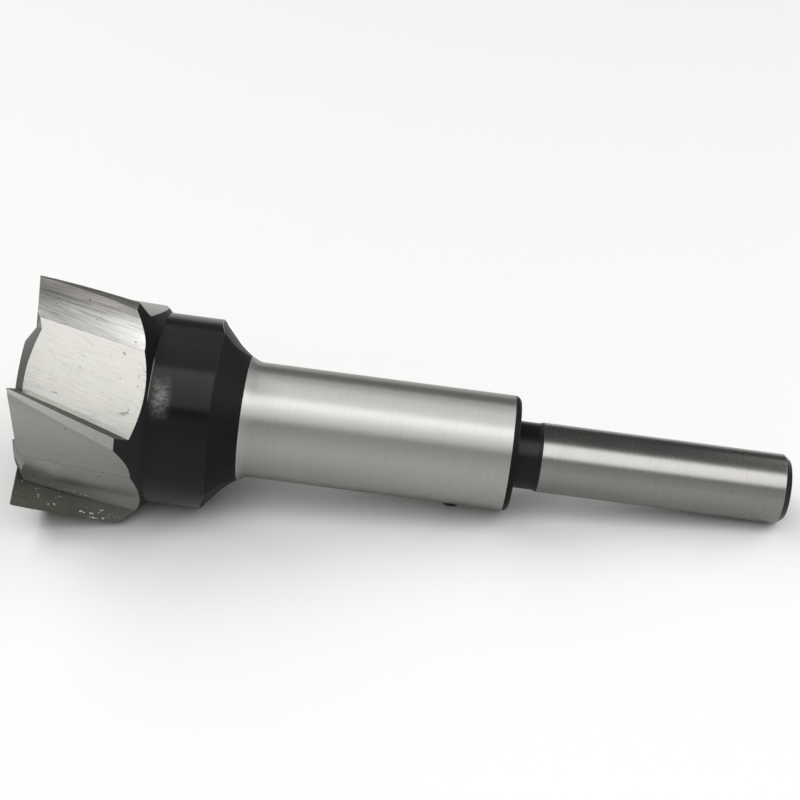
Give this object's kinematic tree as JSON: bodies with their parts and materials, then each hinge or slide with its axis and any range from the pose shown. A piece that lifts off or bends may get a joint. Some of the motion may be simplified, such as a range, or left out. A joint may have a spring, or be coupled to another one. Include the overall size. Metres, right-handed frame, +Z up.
{
  "type": "plug cutter",
  "caption": "Toothed ring cutter for wooden plugs, with a blind centre bore, a collar, a ground barrel and a round shank clamped in it.",
  "frame": {"origin": "middle of the footprint's box, on the surface that the tool lies on", "axes": "+X runs from the cutting tips towards the shank's end, +Z is up"},
  "size_m": [0.1432, 0.0436, 0.0424],
  "materials": {
    "ground_steel": "ground bright on the teeth and barrel, black oxide on the collar and shoulder",
    "shank_steel": "cylindrically ground, with a black neck and end chamfer",
    "black_screw": "black oxide"
  },
  "bodies": {
    "root": {"cutter_body": "ground_steel", "drive_shank": "shank_steel", "clamp_screw": "black_screw"}
  },
  "joints": []
}
